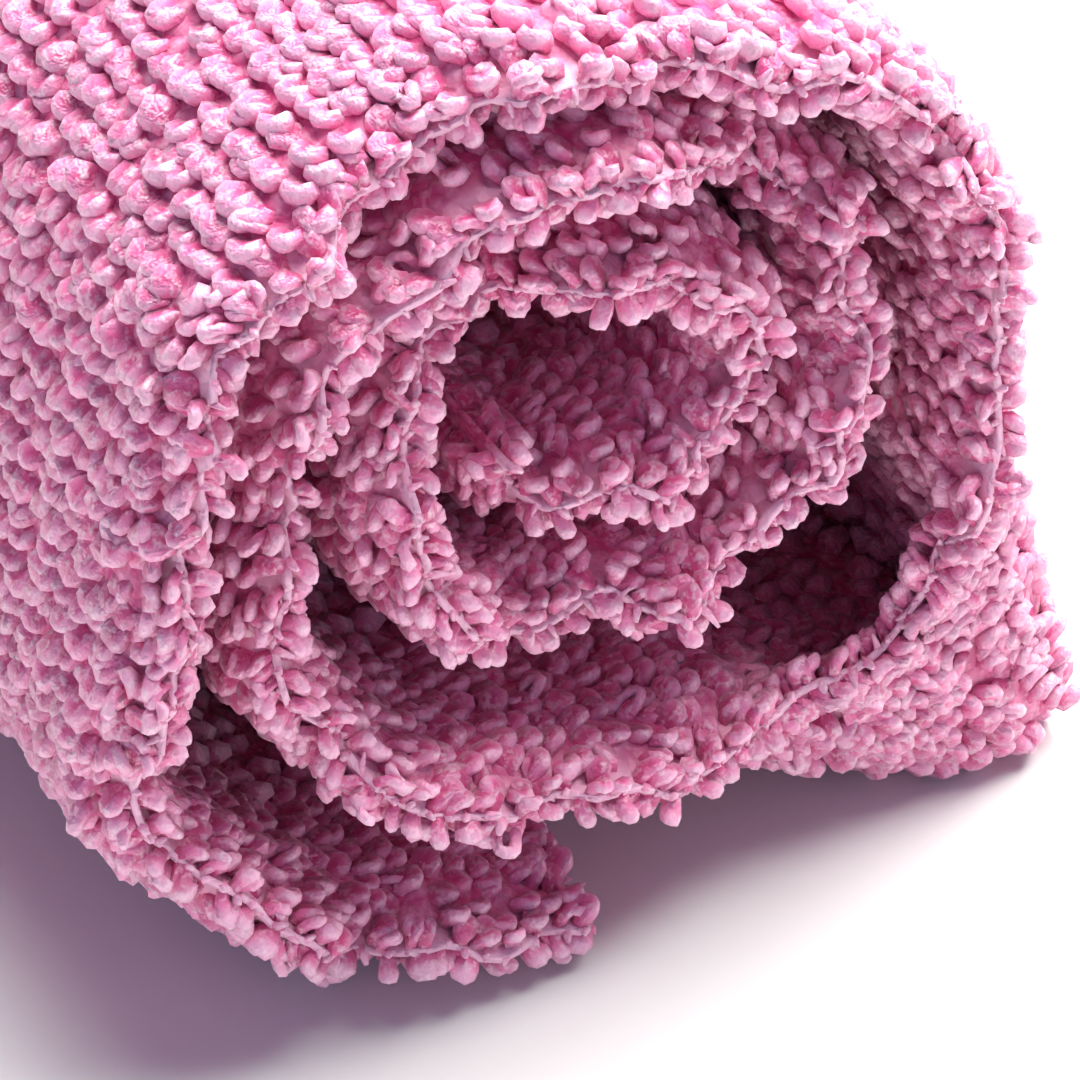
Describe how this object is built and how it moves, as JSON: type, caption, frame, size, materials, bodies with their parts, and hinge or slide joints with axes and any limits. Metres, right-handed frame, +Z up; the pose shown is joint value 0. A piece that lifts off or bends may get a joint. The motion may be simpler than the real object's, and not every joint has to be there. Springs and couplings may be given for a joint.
{
  "type": "rolled terry cleaning cloth",
  "caption": "Square terry cloth rolled up straight and lying on its side, its loose end tucked under, with a pile of loops on both faces and raw cut edges.",
  "frame": {"origin": "on the surface that the roll rests on, under the middle of the roll", "axes": "+Y along the roll, away from the end that shows in the picture; +Z up; the loose end is tucked under and runs towards -X"},
  "size_m": [0.0504, 0.3018, 0.0495],
  "materials": {
    "terry": "looped pile"
  },
  "bodies": {
    "root": {"rolled_cloth": "terry"}
  },
  "joints": []
}
